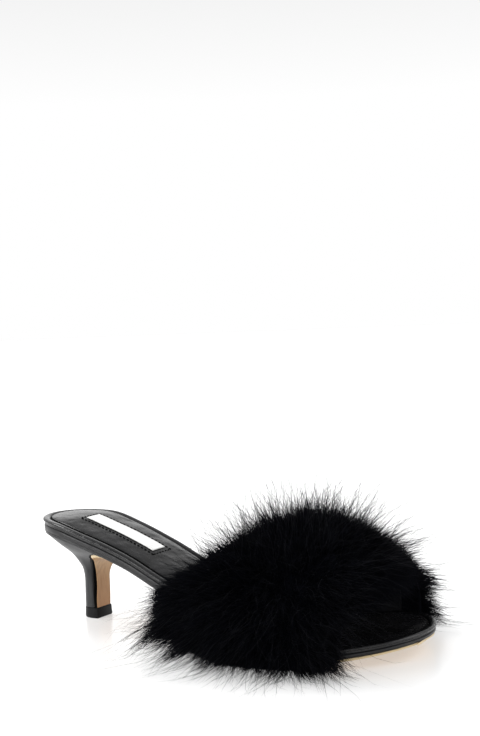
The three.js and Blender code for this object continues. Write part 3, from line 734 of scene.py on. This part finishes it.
def make_outsole():
    """One piece of leather carried along its path: a bevelled section, as wide as the sole and then as the
    heel's breast, whose outer side is drawn in a little where the flap curves."""
    rings = []
    for x, z, out_x, out_z, on_sole in OUTSOLE_PATH:
        thickness = layer(OUTSOLE_THICKNESS, STACK_OUTSOLE, np.array(x))
        hidden_x, hidden_z = x - out_x * thickness, z - out_z * thickness
        level = 1.0 if on_sole else heel_level(np.array(hidden_x), hidden_z)
        half = outsole_half(np.array(x))
        bevel = OUTSOLE_BEVEL
        if not on_sole:
            half = min(half, breast_half(level, np.array(x)) - BREAST_INSET)
            bevel = FLAP_BEVEL
        bevel = min(bevel, 0.9 * half)
        centre = mix(heel_centre(level), middle(np.array(x)), level**4)
        # way across, and share of the way from the shown face to the hidden one
        side_foot = mix(SIDE_FOOT, TOE_SIDE_FOOT, smooth_step(0.66, 0.8, x / FOOTBED_LENGTH))
        bulge = BEVEL_BULGE * side_foot / SIDE_FOOT
        profile = [(-half + bevel, 0), (0, 0), (half - bevel, 0), (half - 0.3 * bevel, bulge)]
        profile += [(half, side_foot), (half, 0.92), (half - 0.0001, 1), (0, 1)]
        profile += [(-half + 0.0001, 1), (-half, 0.92), (-half, side_foot), (-half + 0.3 * bevel, bulge)]
        drawn_in = FLAP_CURVE * smooth_step(0.97, 0.75, level) * smooth_step(0, 0.35, level)
        across = [y + drawn_in * max(-y, 0) / half for y, _ in profile]
        ring = [(mix(x, hidden_x, d), centre + y, mix(z, hidden_z, d)) for y, (_, d) in zip(across, profile)]
        rings.append(ring)
    # the sole's edge is pale as a cut edge, lightened further by painted bounce light from the table, and the
    # edge of the flap on the breast is inked black
    pale = int(OUTSOLE_PATH[:, 4].sum()) + PALE_FILLET_ROWS
    forefoot = int((OUTSOLE_PATH[:, 0] > WAIST_TO).sum())
    edge, shown_face = (3, 4, 5, 8, 9, 10), (0, 1, 2, 11)
    patches = [
        (pale_edge_and_painted_bounce, range(pale), edge),
        (painted_seam_shade_and_edge_ink, range(pale, len(rings) - 1), edge),
        (forefoot_leather, range(forefoot), shown_face),
    ]
    crease = math.radians(35)
    piece = skin("outsole_leather", rings, outsole_leather, (True, True), crease, patches)
    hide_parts("outsole")
    return piece


def heel_section(level, front, grow=0.0):
    """A flat breast, straight sides to the widest point and a half ellipse behind, as x and y."""
    half = SEAT_HALF * through(HEEL_LEVEL, HEEL_HALF, level) + grow
    corner = breast_half(level, np.array(front)) + grow
    reach = SEAT_BACK * through(HEEL_LEVEL, HEEL_BACK, level)
    widest = min(front - 0.0015, mix(HEEL_AXIS, HEEL_ROUND, reach / SEAT_BACK))
    centre = heel_centre(level)
    angle = np.linspace(0, np.pi, 40)
    back = np.stack([widest - (reach + grow) * np.sin(angle), centre - half * np.cos(angle)], -1)
    # the corners of the breast are rounded over a small edge, each by three points
    edge = 0.0004
    cut = edge * np.array([0, 0.3, 1])
    first = np.stack([front - cut, centre - corner + cut[::-1]], -1)
    last = np.stack([front - cut[::-1], centre + corner - cut], -1)
    return np.concatenate([first, back, last])


def make_heel():
    """The wrapped heel: sections level at its foot that tilt into the sole's slope at its seat."""
    shown = OUTSOLE_PATH[OUTSOLE_PATH[:, 4] == 0][::-1]
    depth = OUTSOLE_THICKNESS + PIECE_GAP
    fronts = shown[:, 0] - shown[:, 2] * depth
    levels = heel_level(fronts, shown[:, 1] - shown[:, 3] * depth)
    fronts, levels = np.append(fronts, fronts[-1]), np.append(levels, 1.0)
    rings = []
    for front, level in zip(fronts, levels):
        plan = heel_section(level, front)
        z = mix(HEEL_FOOT, outsole_top(np.maximum(plan[:, 0], 0)), level)
        rings.append(np.concatenate([plan, z[:, None]], 1))
    piece = skin("heel_cover", rings, heel_leather, (True, True), math.radians(50))
    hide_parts("heel")
    return piece


def make_top_piece():
    """The moulded block under the heel, with a slightly proud edge and a small bevel at the floor."""
    # share of the height, share of the overhang
    sides = ((0, 0.1), (0.06, 0.7), (0.13, 1), (0.5, 0.65), (0.93, 0.4), (1, 0.2))
    rings = []
    for z, grow in sides:
        wider = TOP_PIECE_OVERHANG * grow
        plan = heel_section(0.0, BREAST_SETBACK + wider, wider)
        rings.append(np.concatenate([plan, np.full((len(plan), 1), z * TOP_PIECE_HEIGHT)], 1))
    piece = skin("top_piece", rings, top_piece_rubber, (True, True), math.radians(40))
    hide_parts("heel_top_piece")
    return piece


# Band and fur


def fur_foot(x):
    """Height of the fur's lower edge: near the floor beside the ball, higher where the sole is."""
    return FUR_FLOOR_GAP + FUR_HANG_SHARE * np.maximum(underside(x) - FUR_FLOOR_GAP, 0)


def sweep(turn):
    """0 at the feet of the arch and 1 over its crest."""
    return np.sin(np.pi * np.clip(turn, 0, 1))


def arch_point(x, turn, clear):
    """A point of the arch over the foot: a rounded arch from foot to foot, straight down beyond both."""
    angle = np.pi * np.clip(turn, 0, 1)
    side = -np.sign(np.cos(angle)) * np.abs(np.cos(angle)) ** ARCH_SHAPE
    up = np.maximum(np.sin(angle), 0) ** ARCH_SHAPE
    foot = outsole_top(x) + PIECE_GAP
    drop = np.maximum(np.maximum(-turn, turn - 1), 0) * (foot - fur_foot(x))
    crest = INSTEP_HEIGHT * through(CREST_AT, CREST_RISE, x / FOOTBED_LENGTH)
    y = middle(x) + side * (half_width(x) + clear) + CREST_LEAN * up * up
    return np.stack([x, y, foot + (crest + clear - foot) * up - drop], -1)


def arch_out(x, turn, clear):
    """Direction square to the arch, away from the foot."""
    step = 0.01
    across = arch_point(x, turn + step, clear) - arch_point(x, turn - step, clear)
    along = arch_point(x + 0.001, turn, clear) - arch_point(x - 0.001, turn, clear)
    out = np.cross(along, across)
    return out / np.linalg.norm(out, axis=-1)[..., None]


def band_rear(turn):
    """The band's rear edge: further forward over the crest than at the sole."""
    return mix(BAND_REAR_SOLE, BAND_REAR_CREST, sweep(turn) ** 1.2)


def band_front(turn):
    """The band's front edge."""
    return mix(BAND_FRONT_SOLE, BAND_FRONT_CREST, sweep(turn))


def wall_rings(inner, outer, along, turn):
    """Rings of a wall between two surfaces, one for each place along it."""
    a, t = np.meshgrid(along, turn, indexing="ij")
    return np.concatenate([inner(a, t), outer(a, t)[:, ::-1]], 1)


def make_band():
    """The leather strap under the fur: a wall between two arches, from its rear edge to its front edge."""

    def at(clear):
        """The arch at a distance outside the footbed, as a function of along and turn."""
        return lambda a, t: arch_point(mix(band_rear(t), band_front(t), a), t, clear)

    inner, outer = at(BAND_CLEARANCE), at(BAND_CLEARANCE + BAND_WALL)
    rings = wall_rings(inner, outer, np.linspace(0, 1, 40), np.linspace(0, 1, 64))
    piece = skin("band_lining", rings, lining_leather, (True, True), math.radians(50))
    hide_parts("upper_band")
    return piece


FUR_INSIDE = BAND_CLEARANCE + BAND_WALL + PIECE_GAP
# Shares of the pile's depth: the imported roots, and where the hairs that show begin
CORE_SHARE = 0.52
ROOT_SHARE = 0.44
# The fur's reach round the arch: a half past each foot, under the sole's edge
WHOLE = (-0.5, 1.5)
REAR, FRONT = (0, 0.5), (0.5, 1)
# How far hair may stand out from the middle of the plan, and above the floor
EDGE = np.array([0.130, 0.0835, 0.0890])


def inner_shoulder(turn):
    """1 on the arch's inner shoulder, between its crest and its inner foot."""
    return smooth_step(0.45, 0.62, turn) * smooth_step(0.86, 0.74, turn)


def fur_x(along, turn):
    """Place along the shoe. The front edge is drawn in on the inner shoulder and at both feet of the arch,
    and both edges round off below the feet."""
    below = smooth_step(0.05, 0.65, np.maximum(-turn, turn - 1))
    outer_foot, inner_foot = smooth_step(0.3, 0, turn), smooth_step(0.74, 0.88, turn)
    rear_in = 0.010 * below
    front_in = 0.007 * inner_shoulder(turn) + 0.005 * outer_foot + 0.0015 * inner_foot + 0.012 * below
    return mix(band_rear(turn) - FUR_OVERHANG + rear_in, band_front(turn) + FUR_OVERHANG - front_in, along)


def fur_depth(along, turn):
    """Depth of the pile: from the table over the crest and down the sides, shorter past the crest."""
    crest = through(FUR_ALONG, FUR_CREST, along)
    side = through(FUR_ALONG, FUR_SIDE, along)
    shorter = mix(1, MEDIAL_FUR_SHARE, smooth_step(0.46, 0.68, turn))
    return FUR_DEPTH * shorter * mix(side, crest, sweep(turn) ** 1.5)


def fur_point(along, turn, depth_share):
    """A point of the fur at a share of its depth over the band."""
    x = fur_x(along, turn)
    base = arch_point(x, turn, FUR_INSIDE)
    return base + arch_out(x, turn, FUR_INSIDE) * (fur_depth(along, turn) * depth_share)[..., None]


def thinner(along, turn):
    """The pile's bulk where it is thin: at the crest's rear edge, and at the front on the inner side."""
    rear = 0.55 * smooth_step(0.42, 0.05, along) * sweep(turn)
    front = 0.25 * inner_shoulder(turn) * smooth_step(0.6, 0.9, along)
    return 1 - rear - front


def front_drop(along, turn):
    """The core's height where only hair shows: falls to half at the front edge of the inner side."""
    return 1 - 0.5 * smooth_step(0.7, 1, along) * smooth_step(0.5, 0.7, turn)


def make_fur_core():
    """The fur's backing and packed roots, a closed shell under the pile."""
    turn = np.concatenate([np.linspace(-0.7, -0.1, 6), np.linspace(0, 1, 60), np.linspace(1.1, 1.7, 6)])
    rings = wall_rings(
        lambda a, t: fur_point(a, t, 0.0),
        lambda a, t: fur_point(a, t, CORE_SHARE * thinner(a, t) * front_drop(a, t)),
        np.linspace(0, 1, 50),
        turn,
    )
    piece = skin("fur_backing", rings, pile_black, (True, True))
    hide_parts("fur_cover")
    return piece


def comb(along, turn, out):
    """Which way the pile lies: outwards, parting to rear and front, down at the sole and over the toes."""
    low = smooth_step(0.45, 0.0, np.minimum(turn, 1 - turn))
    lean = np.zeros_like(out)
    lean[:, 0] = 1.3 * (along - 0.45) + 0.5 * smooth_step(0.75, 1, along) * (1 - inner_shoulder(turn))
    lean[:, 2] = -0.3 * low - 0.3 * smooth_step(0.8, 1, along) * (1 - low)
    return unit(out + lean)


def unit(vectors):
    """Vectors brought to length one."""
    return vectors / (np.linalg.norm(vectors, axis=-1)[..., None] + 1e-12)


def noise(count, size):
    """Random vectors, normal in each of their three numbers."""
    return rng.normal(0, size, (count, 3))


def scattered(count, along_range, turn_range):
    """Even scatter over the fur: cells of a fine grid are drawn by their area, then a place inside each."""
    rows, columns = 60, 120
    a_edges = np.linspace(*along_range, rows + 1)
    t_edges = np.linspace(*turn_range, columns + 1)
    a, t = np.meshgrid(a_edges, t_edges, indexing="ij")
    points = fur_point(a, t, 0.6)
    side = points[1:, :-1] - points[:-1, :-1]
    over = points[:-1, 1:] - points[:-1, :-1]
    area = np.linalg.norm(np.cross(side, over), axis=-1).ravel()
    cell = rng.choice(len(area), count, p=area / area.sum())
    row, column = np.divmod(cell, columns)
    along = a_edges[row] + rng.random(count) * (a_edges[1] - a_edges[0])
    turn = t_edges[column] + rng.random(count) * (t_edges[1] - t_edges[0])
    return along, turn


class Clumps:
    """Lines that hairs gather to: a root, a way and a bend for each."""

    def __init__(self, count, stray, spread):
        """Scatters the clumps, and gives each a length factor that is normal round one."""
        along, turn = scattered(count, (0, 1), WHOLE)
        self.root = fur_point(along, turn, ROOT_SHARE * thinner(along, turn))
        out = arch_out(fur_x(along, turn), turn, FUR_INSIDE)
        self.way = unit(comb(along, turn, out) + noise(count, stray))
        self.bend = noise(count, 0.16) + np.array([0, 0, -0.14])
        self.length = np.clip(rng.normal(1, spread, count), 0.6, 1.6)

    def nearest(self, roots):
        """Index of the clump whose root is nearest to each hair's root, by the squares of the distances."""
        own = (self.root**2).sum(1)
        blocks = np.array_split(roots, 20)
        return np.concatenate([(own - 2 * block @ self.root.T).argmin(1) for block in blocks])

    def line(self, which, reach, t):
        """Points of each hair's clump: its root, then its way and its bend times the share gone."""
        root, way, bend = (values[which][:, None] for values in (self.root, self.way, self.bend))
        return root + (way + bend * t) * reach * t


# Three sizes of clump, about 15, 6 and 2 mm apart: bulges of the whole pile, tufts, and wisps inside them
lobes = Clumps(100, 0.3, 0.16)
tufts = Clumps(700, 0.3, 0.24)
wisps = Clumps(5200, 0.2, 0.2)


def kept_clear(points):
    """Lifts hair off the floor and off the footbed. Closer than a soft landing the height over the ground is
    an exponential that never reaches it."""
    soft, over_footbed, over_floor = 0.003, 0.0016, 0.0006
    x = np.clip(points[..., 0], 0, FOOTBED_LENGTH)
    over_sole = np.abs(points[..., 1] - middle(x)) < half_width(x) + 0.002
    over_sole &= (points[..., 0] > 0) & (points[..., 0] < FOOTBED_LENGTH)
    above = over_sole & (points[..., 2] > midsole_bottom(x))
    ground = np.where(above, sock_rim(x) + over_footbed, over_floor)
    over = points[..., 2] - ground
    points[..., 2] = ground + np.where(over < soft, soft * np.exp(np.minimum(over / soft, 1) - 1), over)
    return points


def within_edges(root, path):
    """Shortens a hair along its own line where its tip would stand too far out from the shoe."""
    centre = ORIGIN * np.array([1, 1, 0])
    tip, base = path[:, -1] - centre, root - centre
    beyond = np.abs(tip) > EDGE
    room = (np.sign(tip) * EDGE - base) / np.where(beyond, tip - base, 1)
    share = np.where(beyond, np.clip(room, 0.2, 1), 1).min(1)
    return root[:, None] + (path - root[:, None]) * share[:, None, None]


def hair(
    name,
    count,
    segments,
    radius,
    material,
    along_range=(0, 1),
    turn_range=WHOLE,
    tip_share=1.0,
    extra=0.0,
    gather=(0.3, 0.5),
    stray=0.25,
    curl=0.14,
    toward=None,
    least=0.004,
    drop=False,
):
    """Tapered three-sided hairs. A hair runs from its root along the comb, or the way that is given, to a
    share of the pile's depth, which its lobe, tuft and wisp lengthen or shorten, plus a rare extra length.
    One that drops reaches most of the way down to the footbed instead. Its bend grows with the square of the
    way gone, a wave comes and goes along it, and its tip is drawn to the lines of its tuft and its wisp."""
    along, turn = scattered(count, along_range, turn_range)
    root = fur_point(along, turn, ROOT_SHARE * thinner(along, turn))
    out = arch_out(fur_x(along, turn), turn, FUR_INSIDE)
    way = comb(along, turn, out) if toward is None else toward(along, turn, out)
    way = unit(way + noise(count, stray))
    rise = np.maximum((way * out).sum(1), 0.8)
    outer_rear = smooth_step(0.35, 0.1, turn) * smooth_step(0.55, 0.1, along)
    inner_front = smooth_step(0.74, 0.85, turn) * smooth_step(0.8, 0.97, along)
    reach = np.maximum((tip_share - ROOT_SHARE) * fur_depth(along, turn) / rise, least)
    in_tuft, in_wisp = tufts.nearest(root), wisps.nearest(root)
    reach *= tufts.length[in_tuft] * wisps.length[in_wisp] * np.clip(1 + rng.normal(0, 0.16, count), 0.5, 1.5)
    reach *= lobes.length[lobes.nearest(root)] * thinner(along, turn) * (1 + 0.15 * outer_rear)
    reach += extra * rng.random(count) ** 3 * (1 - 0.5 * outer_rear) + 0.005 * inner_front
    if drop:
        fall = np.maximum(root[:, 2] - 0.019, 0.003) / np.maximum(-way[:, 2], 0.45)
        reach = fall * (0.92 - 0.4 * rng.random(count) ** 2)
    bend = noise(count, curl) + np.array([0, 0, -0.12])
    wave = noise(count, 1.6 * curl)
    t = np.linspace(0, 1, segments + 1)[None, :, None]
    r = reach[:, None, None]
    path = root[:, None] + (way[:, None] + bend[:, None] * t + wave[:, None] * t * (1 - t)) * r * t
    for clumps, which, share in zip((tufts, wisps), (in_tuft, in_wisp), gather):
        drawn = share * np.clip(1 + rng.normal(0, 0.3, count), 0, 1.5)[:, None, None] * t**1.2
        path = mix(path, clumps.line(which, r, t), np.minimum(drawn, 0.95))
    path = within_edges(root, kept_clear(path))
    tangent = unit(np.gradient(path, axis=1))
    side = unit(np.cross(tangent, np.array([0.31, 0.17, 0.94])))
    other = np.cross(tangent, side)
    stout = np.clip(1 + rng.normal(0, 0.2, count), 0.5, 1.6)[:, None, None]
    thick = radius * (1 - 0.8 * t[:, :-1] ** 1.2) * stout
    angle = np.array([0, 2, 4]) * np.pi / 3
    rings = path[:, :-1, None] + thick[..., None] * (
        np.cos(angle)[None, None, :, None] * side[:, :-1, None]
        + np.sin(angle)[None, None, :, None] * other[:, :-1, None]
    )
    corners = np.concatenate([rings.reshape(count, -1, 3), path[:, -1:]], 1)
    return finish_hair(name, corners, segments, material)


def over_the_toes(along, turn, out):
    """The front fringe: down over the toe opening, leaning forwards, and inwards from both sides."""
    way = np.zeros_like(out)
    way[:, 0] = 0.3 * smooth_step(0.1, 0.35, turn) * (1 - 0.8 * smooth_step(0.5, 0.7, turn))
    way[:, 1] = 0.55 * np.cos(np.pi * turn)
    way[:, 2] = -1.0
    return unit(way + 0.15 * out)


def past_the_sole(along, turn, out):
    """The pile beside the toe opening: forwards along the sole's side and a little down."""
    return unit(np.array([0.9, -0.15, -0.45]) + 0.45 * out)


def finish_hair(name, corners, segments, material):
    """Faces of every hair from one pattern, repeated for all of them as arrays."""
    pattern = [[0, 2, 1]]
    for ring in range(segments - 1):
        for k in range(3):
            a, b = 3 * ring + k, 3 * ring + (k + 1) % 3
            pattern += [[a, b, b + 3], [a, b + 3, a + 3]]
    last = 3 * (segments - 1)
    pattern += [[last + k, last + (k + 1) % 3, last + 3] for k in range(3)]
    count, per_hair = corners.shape[:2]
    triangles = (np.array(pattern)[None] + per_hair * np.arange(count)[:, None, None]).reshape(-1)
    mesh = bpy.data.meshes.new(name)
    mesh.vertices.add(count * per_hair)
    mesh.vertices.foreach_set("co", (corners.reshape(-1, 3) - ORIGIN).astype(np.float32).ravel())
    mesh.loops.add(len(triangles))
    mesh.loops.foreach_set("vertex_index", triangles.astype(np.int32))
    mesh.polygons.add(len(triangles) // 3)
    mesh.polygons.foreach_set("loop_start", np.arange(0, len(triangles), 3, dtype=np.int32))
    mesh.polygons.foreach_set("use_smooth", np.ones(len(triangles) // 3, dtype=bool))
    mesh.update(calc_edges=True)
    piece = bpy.data.objects.new(name, mesh)
    bpy.context.scene.collection.objects.link(piece)
    piece.data.materials.append(material)
    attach(piece, "root")
    return piece


make_footbed()
make_wrapped_edge()
make_label()
make_label_stitches()
make_edge_stitches()
make_outsole()
make_heel()
make_top_piece()
make_band()
make_fur_core()

# Each kind of hair has its own count, segments and root radius. Real fibres are well under 0.1 mm thick and
# wouldn't show, so they are drawn as strands of 0.16 to 0.36 mm.
short = {"least": 0.0045, "gather": (0.5, 0.4)}
hair("fur_pile_rear", 16500, 2, 0.00018, pile_black, REAR, tip_share=0.76, **short)
hair("fur_pile_front", 16500, 2, 0.00018, pile_black, FRONT, tip_share=0.74, **short)
lock = {"extra": 0.008, "least": 0.006, "gather": (0.7, 0.35)}
hair("fur_locks_rear", 8500, 3, 0.00014, pile_black, REAR, tip_share=0.89, **lock)
hair("fur_locks_front", 8500, 3, 0.00014, pile_black, FRONT, tip_share=0.85, **lock)
loose = {"tip_share": 0.98, "extra": 0.036, "gather": (0.25, 0.2), "stray": 0.32, "curl": 0.26}
hair("fur_guard_hairs", 8000, 4, 0.00008, guard_black, **loose)
curtain = {"gather": (0.15, 0.3), "stray": 0.16, "curl": 0.1, "toward": over_the_toes, "drop": True}
hair("fur_toe_curtain", 4600, 4, 0.00015, pile_black, (0.87, 1), (0.1, 0.9), **curtain)
fringe = {"tip_share": 0.7, "extra": 0.014, "gather": (0.3, 0.4), "curl": 0.2, "toward": past_the_sole}
hair("fur_side_fringe", 1500, 4, 0.0001, guard_black, (0.84, 1), (-0.25, 0.24), least=0.006, **fringe)


# Floor, light and camera


def make_floor():
    """A glossy white light table that glows a little from below and runs out of sight."""
    material, tree = new_material("white_acrylic_table")
    shader = add(
        tree,
        "ShaderNodeBsdfPrincipled",
        {
            "Base Color": linear("D6D6D6"),
            "Roughness": 0.2,
            "Specular IOR Level": 0.3,
            "Emission Color": linear("FFFFFF"),
            "Emission Strength": 0.4,
        },
    )
    finish_material(tree, shader)
    mesh = bpy.data.meshes.new("table")
    reach = 12.0
    corners = [(reach * x, reach * y, 0) for x, y in ((-1, -1), (1, -1), (1, 1), (-1, 1))]
    mesh.from_pydata(corners, [], [(0, 1, 2, 3)])
    floor = bpy.data.objects.new("table", mesh)
    floor.data.materials.append(material)
    bpy.context.scene.collection.objects.link(floor)


def make_lights():
    """A white cove with a dimmer ceiling, soft boxes over the heel and the toe, a low strip light on the
    outer side and a faint one behind."""
    world = bpy.data.worlds.new("white_cove")
    bpy.context.scene.world = world
    world.use_nodes = True
    way = add(world.node_tree, "ShaderNodeTexCoord").outputs["Generated"]
    height = add(world.node_tree, "ShaderNodeSeparateXYZ", {0: way})
    dimmer = add(
        world.node_tree,
        "ShaderNodeMapRange",
        {"Value": height.outputs["Z"], "From Min": 0.18, "From Max": 0.6, "To Min": 1.0, "To Max": 0.5},
    )
    background = world.node_tree.nodes["Background"]
    background.inputs["Color"].default_value = (1, 1, 1, 1)
    world.node_tree.links.new(dimmer.outputs[0], background.inputs["Strength"])
    boxes = (
        # name, way towards the light, width as an angle, strength
        ("soft_box_heel_side", (-0.75, 0.1, 1.0), 30, 1.6),
        ("soft_box_toe_side", (0.9, 0.5, 0.9), 40, 0.9),
        ("strip_light_outer_side", (-0.55, -0.76, 0.38), 30, 1.4),
        ("strip_light_behind", (-0.551, 0.804, 0.25), 30, 0.07),
    )
    for name, way, width, strength in boxes:
        light = bpy.data.lights.new(name, "SUN")
        light.angle = math.radians(width)
        light.energy = strength
        lamp = bpy.data.objects.new(name, light)
        lamp.rotation_euler = to_vector(way).to_track_quat("Z", "Y").to_euler()
        bpy.context.scene.collection.objects.link(lamp)


def to_vector(values):
    """Plain numbers as Blender's own vector."""
    return Vector([float(v) for v in values])


def turned(first, second, angle):
    """Two square directions turned in their plane by an angle, from the first towards the second."""
    cos, sin = math.cos(angle), math.sin(angle)
    return first * cos + second * sin, second * cos - first * sin


def make_camera():
    """The photograph's own view: 34.5 degrees round from the outer side, 12.9 up, rolled 2.6 degrees. The
    shoe stands low in its frame, so the camera looks past its target by a tilt and a pan."""
    azimuth, elevation, roll = math.radians(34.45), math.radians(12.92), math.radians(2.60)
    distance = 0.630
    pixels_per_metre, frame_height = 1903, 736
    sensor = 36.0
    pan, tilt = math.radians(-0.465), math.radians(10.68)
    target = np.array([0.120, 0.0, 0.020]) - ORIGIN
    level = np.array([math.sin(azimuth), -math.cos(azimuth), 0.0])
    back = level * math.cos(elevation) + np.array([0.0, 0.0, math.sin(elevation)])
    right = np.array([math.cos(azimuth), math.sin(azimuth), 0.0])
    up = np.cross(back, right)
    ahead = -back
    up, right = turned(up, right, roll)
    ahead, up = turned(ahead, up, tilt)
    right, ahead = turned(right, ahead, pan)
    data = bpy.data.cameras.new("photo_camera")
    data.sensor_width = sensor
    data.lens = sensor * pixels_per_metre * distance / frame_height
    data.clip_start = 0.01
    data.clip_end = 60.0
    camera = bpy.data.objects.new("photo_camera", data)
    turn = Matrix([[float(right[k]), float(up[k]), float(-ahead[k])] for k in range(3)])
    camera.matrix_world = Matrix.Translation(to_vector(target + back * distance)) @ turn.to_4x4()
    bpy.context.scene.collection.objects.link(camera)
    bpy.context.scene.camera = camera


make_floor()
make_lights()
make_camera()
bpy.context.scene.view_settings.view_transform = "Standard"
